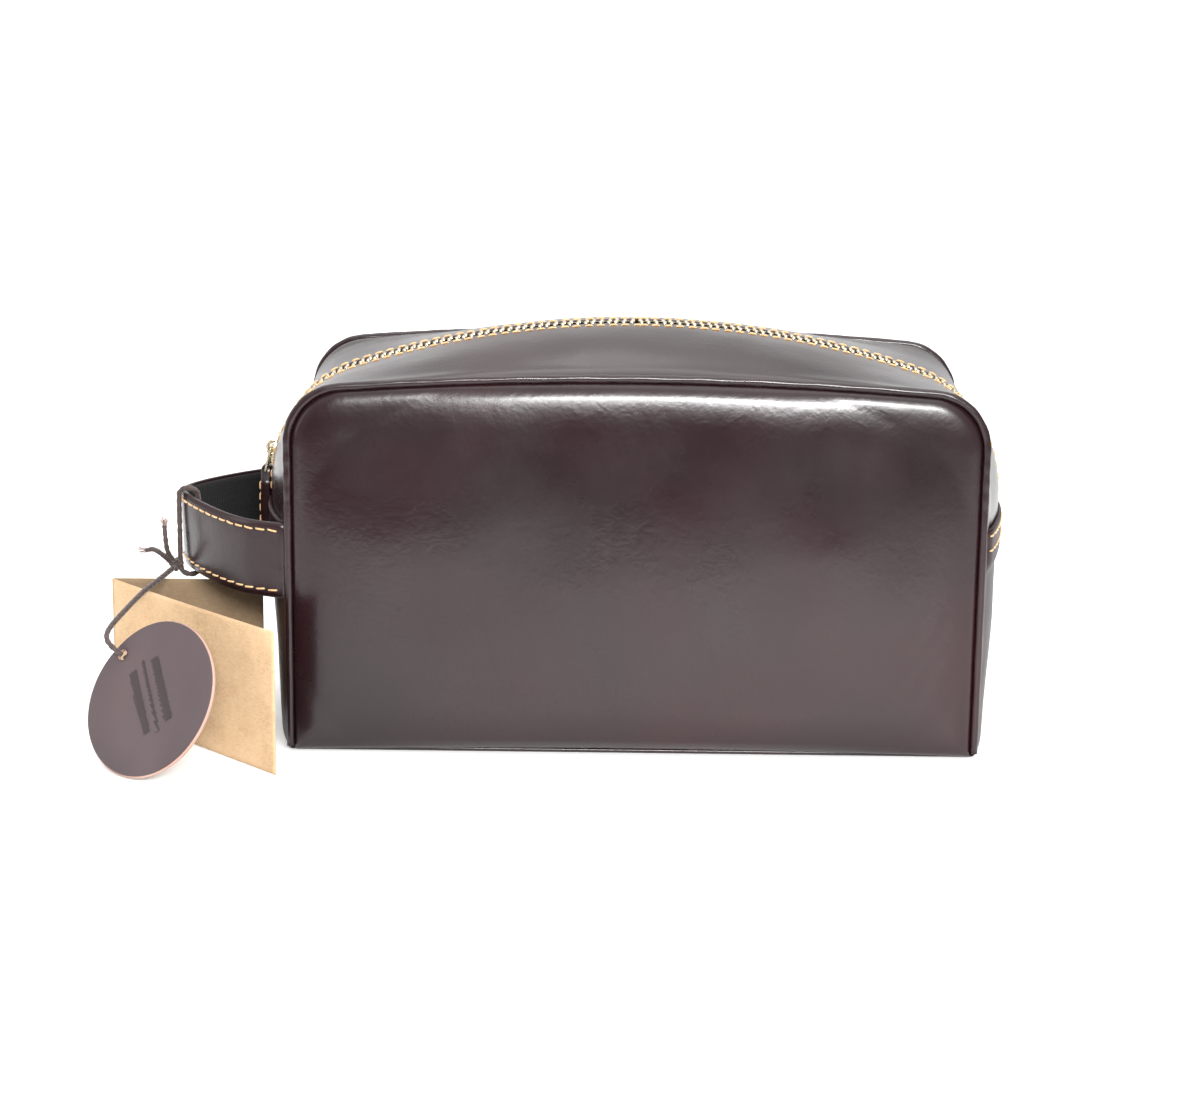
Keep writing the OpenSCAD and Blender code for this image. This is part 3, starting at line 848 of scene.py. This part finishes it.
def make_pull_tab():
    """Two layers of leather folded round the link, stitched together."""
    low, high = node_box("pull_tab")
    cx, thick, wide = (low.x + high.x) / 2, (high.x - low.x), (high.y - low.y)
    verts, faces = [], []
    rings, sides = 40, 28
    for i in range(rings + 1):
        f = i / rings
        z = lerp(high.z, low.z, f)
        from_top, from_low = high.z - z, z - low.z
        half_w = lerp(TAB_NECK, wide / 2, smooth((from_top - 1.5) / 5))
        if from_low < TAB_END_R:
            half_w *= math.sqrt(max(1 - (1 - from_low / TAB_END_R) ** 2, 0.03))
        half_t = thick / 2 * math.sqrt(max(1 - (1 - min(from_top / 2, 1)) ** 2, 0.05))
        for k in range(sides):
            a = 2 * math.pi * k / sides
            ca, sa = math.cos(a), math.sin(a)
            x = cx + half_t * math.copysign(abs(ca) ** TAB_SQUARE, ca)
            y = half_w * math.copysign(abs(sa) ** TAB_SQUARE, sa)
            verts.append(Vector((x + 0.15 * math.sin(z * 0.3), y, z)))
    for i in range(rings):
        for k in range(sides):
            a, b, k2 = i * sides, (i + 1) * sides, (k + 1) % sides
            faces.append((a + k, a + k2, b + k2, b + k))
    faces.append(tuple(range(sides))[::-1])
    faces.append(tuple(rings * sides + k for k in range(sides)))
    tab = new_object("pull_tab_skin", verts, faces, leather)
    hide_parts("pull_tab")
    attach(tab, "tab")
    rows = []
    for sign in (-1, 1):
        for k in range(TAB_STITCHES):
            at = Vector((low.x + 0.05, sign * (wide / 2 - TAB_STITCH_IN),
                         high.z - TAB_STITCH_TOP - k * TAB_STITCH_PITCH))
            rows.append(stitch_data(at, Vector((0, 0, 1)), Vector((-1, 0, 0)), 3.2, 0.3))
    stitches = new_object("pull_tab_stitches", *merge(rows), thread)
    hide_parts("pull_tab_stitching")
    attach(stitches, "tab")


make_pull_tab()


# ---- Carry strap ----

strap_low, strap_high = node_box("carry_strap")
STRAP_ROOT = strap_high.x
STRAP_A = strap_high.x - strap_low.x
STRAP_B = strap_high.y
STRAP_Z = (strap_low.z + strap_high.z) / 2
STRAP_HALF = (strap_high.z - strap_low.z) / 2
STRAP_TIP_R = 12
STRAP_POINT = 0.55              # the share of the pointed bow, the rest being a half ellipse
STRAP_LEAD = 3.2                # how far the strap's roots run back into the seams
STRAP_STITCH_IN = 2.6
STRAP_STITCH_PITCH = 5.0
STRAP_STITCH_LEN = 4.0
STRAP_STITCH_FIRST = 2.0
STRAP_STEPS = 1800


def strap_bow(y):
    """The strap's outer face seen from above, tucked in at its roots."""
    run = math.hypot(STRAP_B, STRAP_TIP_R) - STRAP_TIP_R
    pointed = 1 - (math.hypot(y, STRAP_TIP_R) - STRAP_TIP_R) / run
    rounded = math.sqrt(max(0, 1 - (y / STRAP_B) ** 2))
    f = STRAP_POINT * pointed + (1 - STRAP_POINT) * rounded
    tuck = STRAP_LEAD * smooth((abs(y) - 0.86 * STRAP_B) / (0.14 * STRAP_B))
    return Vector((STRAP_ROOT - STRAP_A * f + tuck, y, 0))


def strap_line(y, inset=0.0):
    """Place, direction along and outward direction on the strap's bow."""
    way = (strap_bow(y + 0.1) - strap_bow(y - 0.1)).normalized()
    out = Vector((-way.y, way.x, 0))
    return strap_bow(y) - out * inset, way, out


def strap_lift(y, v):
    """Height of a point across the strap, which rises a little towards its tip."""
    near = 1 - abs(y) / STRAP_B
    return STRAP_Z + 1.4 * smooth(near) + v * STRAP_HALF


def strap_wave(y, v):
    """Gentle unevenness of the strap's face."""
    return 0.30 * math.sin(y * 0.055 + v * 0.8) + 0.16 * math.sin(y * 0.17 + 1 + v)


def strap_sheet(name, inset, thickness, half, material, node, flat=False):
    """One layer of the strap. A layer that isn't flat has its edges rolled in."""
    ny, nv = 150, 16
    grid, outs = [], []
    for i in range(ny + 1):
        y = lerp(-STRAP_B, STRAP_B, i / ny)
        p, _, out = strap_line(y, inset)
        row = []
        for j in range(nv + 1):
            v = lerp(-1, 1, j / nv) * half / STRAP_HALF
            h = strap_wave(y, v) - (0 if flat else 0.28 * abs(v) ** 6)
            row.append(p + out * h + Vector((0, 0, strap_lift(y, v))))
        grid.append(row)
        outs.append([out] * (nv + 1))
    obj = slab(name, grid, outs, thickness, material, 0.3)
    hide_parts(node)
    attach(obj, "bag")


strap_sheet("strap_leather", 0, LEATHER, STRAP_HALF, leather, "carry_strap")
strap_sheet("strap_ribbed_webbing", LEATHER + 0.05, 1.1, STRAP_HALF - 1, webbing, "strap_webbing",
            flat=True)


def make_strap_stitches():
    """A row of stitches along both edges of the strap."""
    random.seed(11)
    parts = []
    for row in (-1, 1):
        v = row * (STRAP_HALF - STRAP_STITCH_IN) / STRAP_HALF
        travelled, want, last = 0.0, STRAP_STITCH_FIRST, None
        for i in range(STRAP_STEPS + 1):
            y = STRAP_B * lerp(-0.985, 0.985, i / STRAP_STEPS)
            p, way, out = strap_line(y)
            if last is not None:
                travelled += (p - last).length
            last = p
            if travelled < want:
                continue
            want += STRAP_STITCH_PITCH
            at = p + out * strap_wave(y, v) + Vector((0, 0, strap_lift(y, v)))
            along = (way + Vector((0, 0, 0.10 * row * random.uniform(0.3, 1.4)))).normalized()
            parts.append(stitch_data(at, along, out, STRAP_STITCH_LEN * random.uniform(0.95, 1.05)))
    obj = new_object("strap_stitches", *merge(parts), thread)
    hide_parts("strap_stitching")
    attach(obj, "bag")


make_strap_stitches()


# ---- Cord, knot and tails ----

CORD_D = 2.0
CORD_SIDES = 20
PLAIT_TWIST = 2.3
FRAY_STRANDS = 16
FRAY_R = 0.16
LOOP_Y = -8
# The routes are the same as in part.scad. LOOP_ROUTE holds x and z.
TAG_CORD_ROUTE = [
    (-170.4, -11.5, 56.6), (-171.3, -14, 56.1), (-172.6, -17.5, 55.4), (-174.1, -21.5, 54.7),
    (-175.8, -26, 53.9), (-177.8, -30.5, 52.9), (-180.1, -35.5, 51.2), (-182.4, -40.5, 49.2),
    (-184.8, -45.8, 47), (-186.8, -50.5, 45), (-187.8, -54.5, 43.2), (-187.4, -57.6, 41.6),
    (-185.8, -59.7, 40.1), (-183.7, -60.6, 38.4), (-181.8, -60.1, 36.8),
]
LOOP_ROUTE = [
    (-168.2, 58), (-168.2, 70), (-168.2, 82), (-167.6, 85), (-164.7, 86.4), (-161.7, 85),
    (-161.1, 82), (-161.1, 70), (-161.1, 57), (-161.8, 54.4), (-164.5, 53.5), (-167.4, 54.8),
]
TAIL_ONE = [(-170.6, -10, 59), (-172.1, -12.5, 63), (-172.6, -13.5, 67.5), (-173.1, -12.5, 73)]
TAIL_TWO = [(-171.1, -11, 58.5), (-174.1, -13, 62), (-177.1, -13.5, 64), (-180.1, -13, 63.5)]
KNOT_AT = Vector((-169.6, -9, 57.5))


def braid(s, a, _):
    """The cord's surface: two crossed sets of plaited strands."""
    left = math.sin(2 * a + s * PLAIT_TWIST)
    right = math.sin(2 * a - s * PLAIT_TWIST)
    return CORD_D / 2 * (0.90 + 0.13 * max(left, right))


def scaled_braid(size, taper=0.0):
    """The cord's surface drawn tighter, and thinner towards its end."""
    return lambda s, a, f: braid(s, a, f) * (size - taper * f)


route = spline(TAG_CORD_ROUTE, 8)
tag_cord = tube("tag_cord_braid", route, braid, cord_mat, CORD_SIDES)
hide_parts("tag_cord")
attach(tag_cord, "bag")
ring = [Vector((x, LOOP_Y + 0.5 * math.sin(k), z)) for k, (x, z) in enumerate(LOOP_ROUTE)]
loop = tube("cord_loop_braid", spline(ring + [ring[0]], 8), braid, cord_mat, CORD_SIDES)
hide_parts("cord_loop")
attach(loop, "bag")


def knot_line(centre, size, turn):
    """An overhand knot's closed curve."""
    line = []
    for k in range(61):
        a = 2 * math.pi * k / 60
        x = math.sin(a) + 2 * math.sin(2 * a)
        y = math.cos(a) - 2 * math.cos(2 * a)
        z = -1.6 * math.sin(3 * a)
        v = Vector((x, z, y)) * size / 3
        v.rotate(Matrix.Rotation(turn, 3, "Z"))
        line.append(centre + v)
    return line


knot = tube("cord_knot_wraps", knot_line(KNOT_AT, 1.9, 0.5), scaled_braid(0.95), cord_mat)
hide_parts("cord_knot")
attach(knot, "bag")

tails = merge([tube_data(spline(tail, 8), scaled_braid(1, 0.1)) for tail in (TAIL_ONE, TAIL_TWO)])
tail_piece = new_object("cord_tail_ends", *tails, cord_mat)
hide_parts("cord_tails")
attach(tail_piece, "bag")


def make_fray():
    """Loose strands at the ends of both tails."""
    random.seed(5)
    parts = []
    for tail in (TAIL_ONE, TAIL_TWO):
        end = Vector(tail[-1])
        way = (end - Vector(tail[-2])).normalized()
        for _ in range(FRAY_STRANDS):
            spread = Vector([random.uniform(-1, 1), random.uniform(-1, 1), random.uniform(-1, 1)])
            start = end - way * 0.6 + spread * 0.45
            mid = end + way * 1.0 + spread * 0.9
            stop = end + way * random.uniform(1.6, 3.0) + spread * random.uniform(1.2, 1.9)
            parts.append(tube_data(spline([start, mid, stop], 4), FRAY_R, 6))
    obj = new_object("cord_fray", *merge(parts), fray_mat)
    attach(obj, "bag")


make_fray()


# ---- Round tag ----

TAG_R = 28.5
TAG_T = 2.0
TAG_HOLE = (-20.5, 12.5)
HOLE_R = 2.0
TAG_EDGE = 0.35                 # the width of the rim's bevel
TAG_YAW = math.radians(-38)
TAG_LEAN = math.radians(60)
MARK_TURN = math.radians(-50)
# The mark's bars: place across, half length, half width and depth.
MARK_BARS = ((5.6, 12.5, 1.5, 0.5), (0.4, 14.5, 0.4, 0.4), (-4.8, 12.5, 1.5, 0.5))
PRESSED = -0.22                 # faces pressed deeper than this get the darker leather, painted shade in the pressed bars
PLAIN, RAW_EDGE, DARK = 0, 1, 2         # the tag's material slots
tag_low, tag_high = node_box("hang_tag")
TAG_AT = (tag_low + tag_high) / 2
TAG_TURN = Matrix.Rotation(TAG_YAW, 3, "Z") @ Matrix.Rotation(TAG_LEAN, 3, "X")


def tag_press(x, y):
    """The pressed mark: two plain bars with a line between them, set across the hole's direction."""
    u = x * math.cos(MARK_TURN) + y * math.sin(MARK_TURN)
    v = -x * math.sin(MARK_TURN) + y * math.cos(MARK_TURN)
    depth = 0.0
    for centre, half_l, half_h, deep in MARK_BARS:
        dx = max(abs(u + 1) - half_l, 0)
        dy = max(abs(v - centre) - half_h, 0)
        depth += deep * (1 - smooth(math.hypot(dx, dy) / 0.6))
    return -depth


def make_tag():
    """A leather disc, its hole cut off centre, as rings round the hole."""
    hx, hy = TAG_HOLE
    spokes, rings = 220, 90
    verts, faces, mats = [], [], []
    for layer in (0, 1):
        for r in range(rings + 1):
            f = r / rings
            for k in range(spokes):
                a = 2 * math.pi * k / spokes
                c, s = math.cos(a), math.sin(a)
                b = hx * c + hy * s
                reach = -b + math.sqrt(b * b + TAG_R ** 2 - hx * hx - hy * hy)
                d = lerp(HOLE_R, reach - TAG_EDGE, f)
                x, y = hx + d * c, hy + d * s
                rim = reach - d
                warp = 0.5 * math.sin(x * 0.07 + 1) * math.sin(y * 0.06)
                soft = -0.45 * math.exp(-rim / 0.5) - 0.3 * math.exp(-(d - HOLE_R) / 0.5)
                if layer == 0:
                    z = TAG_T / 2 + warp + soft + tag_press(x, y)
                else:
                    z = -TAG_T / 2 + warp - soft
                verts.append(Vector((x, y, z)))
    row = (rings + 1) * spokes
    for layer in (0, 1):
        for r in range(rings):
            for k in range(spokes):
                k2 = (k + 1) % spokes
                a = layer * row + r * spokes
                faces.append((a + k, a + k2, a + spokes + k2, a + spokes + k))
                middle = (verts[a + k] + verts[a + spokes + k2]) / 2
                # Faces inside the pressed bars take the DARK slot, painted shade.
                mats.append(DARK if layer == 0 and tag_press(middle.x, middle.y) < PRESSED else PLAIN)
    mid = len(verts)
    for k in range(spokes):
        p = (verts[rings * spokes + k] + verts[row + rings * spokes + k]) / 2
        verts.append(p * (1 + 0.45 / TAG_R))
    for k in range(spokes):
        k2 = (k + 1) % spokes
        outer, under = rings * spokes, row + rings * spokes
        faces.append((outer + k, outer + k2, mid + k2, mid + k))
        faces.append((mid + k, mid + k2, under + k2, under + k))
        faces.append((k, k2, row + k2, row + k))
        mats += [RAW_EDGE] * 3
    verts = [TAG_AT + TAG_TURN @ v for v in verts]
    obj = new_object("hang_tag_disc", verts, faces, tag_leather)
    obj.data.materials.append(edge_leather)
    obj.data.materials.append(pressed_painted_shade)
    for poly, slot_index in zip(obj.data.polygons, mats):
        poly.material_index = slot_index
    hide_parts("hang_tag")
    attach(obj, "tag")
    return obj


tag = make_tag()
end_at = TAG_AT + TAG_TURN @ Vector((TAG_HOLE[0], TAG_HOLE[1], -TAG_T / 2 - 1.9))
end_knot = tube("cord_end_wraps", knot_line(end_at, 1.5, 0.9), scaled_braid(0.8), cord_mat)
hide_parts("cord_end_knot")
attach(end_knot, "tag")


# ---- Kraft card ----

CARD_T = 0.45
FOLD_AT = Vector((-193.3, -10, 0))
FRONT_LEAF_TURN = math.radians(-46.6)


def make_leaf(name, node, body, turn, side, bow):
    """One leaf of the folded card, slightly bowed, with darker kraft on its inner face as painted shade."""
    low, high = node_box(node)
    length = math.hypot(high.x - low.x, high.y - low.y) - 0.2
    nx, nz = 60, 30
    way = Vector((math.cos(turn), math.sin(turn), 0))
    out = Vector((-way.y, way.x, 0)) * side
    grid, outs = [], []
    for i in range(nx + 1):
        f = i / nx
        row = []
        for j in range(nz + 1):
            z = lerp(low.z + 0.05, high.z - 0.05, j / nz)
            bend = bow * math.sin(math.pi * f) * (0.7 + 0.3 * j / nz)
            row.append(FOLD_AT + way * (0.5 + f * length) + out * (CARD_T + bend) + Vector((0, 0, z)))
        grid.append(row)
        outs.append([out] * (nz + 1))
    obj = slab(name, grid, outs, CARD_T, kraft, 0.05)
    # The second slot is the darker kraft: painted shade on the leaf's inner face.
    obj.data.materials.append(kraft_painted_shade)
    half = (nx + 1) * (nz + 1)
    for poly in obj.data.polygons:
        poly.material_index = int(all(half <= v < 2 * half for v in poly.vertices))
    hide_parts(node)
    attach(obj, body)


make_leaf("card_front", "card_front_leaf", "bag", FRONT_LEAF_TURN, -1, 0.7)
make_leaf("card_back", "card_back_leaf", "card_back", 0.0, 1, 0.25)

for node in ("lining_front", "lining_back", "lining_left_end", "lining_right_end", "lining_base"):
    finish_node(node, lining)
finish_node("base_board", board)


# ---- Floor, light and camera ----

# Lengths from here on are in metres.
FLOOR_SIZE = 2.4
FLOOR_FRONT = -0.46             # the floor ends here, so that the front doesn't mirror it
FLOOR_WIDTH = 0.45              # the floor's width as a share of its length
FLOOR_Z = -0.0003
ROOM_DARK = 0.05
ROOM_SIDES = 0.5
ROOM_LIGHT = 1.2
CAM_DISTANCE = 1.0
CAM_ELEVATION = math.radians(13.8)
CAM_ROLL = math.radians(0.7)
CAM_AIM = Vector((-0.0125, -0.053, 0.0725))
PIXELS_PER_RADIAN = 2821
FRAME_WIDTH = 1200
SENSOR_WIDTH = 36


def make_stage():
    """The plain pale floor."""
    mat, _, bsdf = nodes_of("studio_white")
    bsdf.inputs["Base Color"].default_value = (0.9, 0.9, 0.9, 1)
    bsdf.inputs["Roughness"].default_value = 0.55
    bsdf.inputs["Emission Color"].default_value = (1, 1, 1, 1)
    bsdf.inputs["Emission Strength"].default_value = 0.15
    bpy.ops.mesh.primitive_plane_add(size=FLOOR_SIZE, location=(0, FLOOR_FRONT + FLOOR_SIZE / 2, FLOOR_Z))
    floor = bpy.context.object
    floor.name = "studio_floor"
    floor.scale.x = FLOOR_WIDTH
    floor.data.materials.append(mat)


def area_light(name, at, aim, size, power):
    data = bpy.data.lights.new(name, "AREA")
    data.shape = "RECTANGLE"
    data.size, data.size_y = size
    data.energy = power
    obj = bpy.data.objects.new(name, data)
    obj.location = at
    obj.rotation_euler = (Vector(aim) - Vector(at)).to_track_quat("-Z", "Y").to_euler()
    bpy.context.collection.objects.link(obj)


make_stage()
area_light("overhead", (0.1, 0.1, 1.5), (0, 0, 0.05), (2.0, 1.6), 19)
area_light("front_bank", (0.27, -1.75, 0.86), (0, 0, 0.1), (0.95, 0.30), 62)
area_light("left_window", (-1.6, -0.2, 0.6), (0, 0, 0.07), (0.9, 0.9), 4)


def make_world():
    """A white sweep behind the object, pale sides and ceiling, and a darker patch straight in front of it."""
    world = bpy.data.worlds.new("studio")
    world.use_nodes = True
    tree = world.node_tree
    where = tree.nodes.new("ShaderNodeTexCoord")
    parts = tree.nodes.new("ShaderNodeSeparateXYZ")
    tree.links.new(where.outputs["Generated"], parts.inputs["Vector"])
    depth = maths(tree, "ADD", maths(tree, "MULTIPLY", parts.outputs["Y"], 0.5), 0.5)
    level = ramp(tree, depth, [(0.05, (ROOM_DARK / ROOM_LIGHT,)), (0.14, (ROOM_SIDES / ROOM_LIGHT,)),
                               (0.86, (ROOM_SIDES / ROOM_LIGHT,)), (0.95, (1.0,))])
    above = ramp(tree, parts.outputs["Z"], [(0.42, (0.0,)), (0.62, (0.9,))])
    light = maths(tree, "MULTIPLY", maths(tree, "MAXIMUM", level, above), ROOM_LIGHT)
    background = tree.nodes["Background"]
    background.inputs["Color"].default_value = (1, 1, 1, 1)
    tree.links.new(light, background.inputs["Strength"])
    bpy.context.scene.world = world


make_world()
bpy.context.scene.view_settings.view_transform = "Standard"


def make_camera():
    """The photograph's view."""
    data = bpy.data.cameras.new("camera")
    data.sensor_width = SENSOR_WIDTH
    data.lens = SENSOR_WIDTH * PIXELS_PER_RADIAN / FRAME_WIDTH
    cam = bpy.data.objects.new("camera", data)
    away = Vector((0, -math.cos(CAM_ELEVATION), math.sin(CAM_ELEVATION)))
    cam.location = CAM_AIM + away * CAM_DISTANCE
    look = (-away).to_track_quat("-Z", "Y").to_matrix().to_4x4()
    cam.rotation_euler = (look @ Matrix.Rotation(CAM_ROLL, 4, "Z")).to_euler()
    bpy.context.collection.objects.link(cam)
    bpy.context.scene.camera = cam


make_camera()
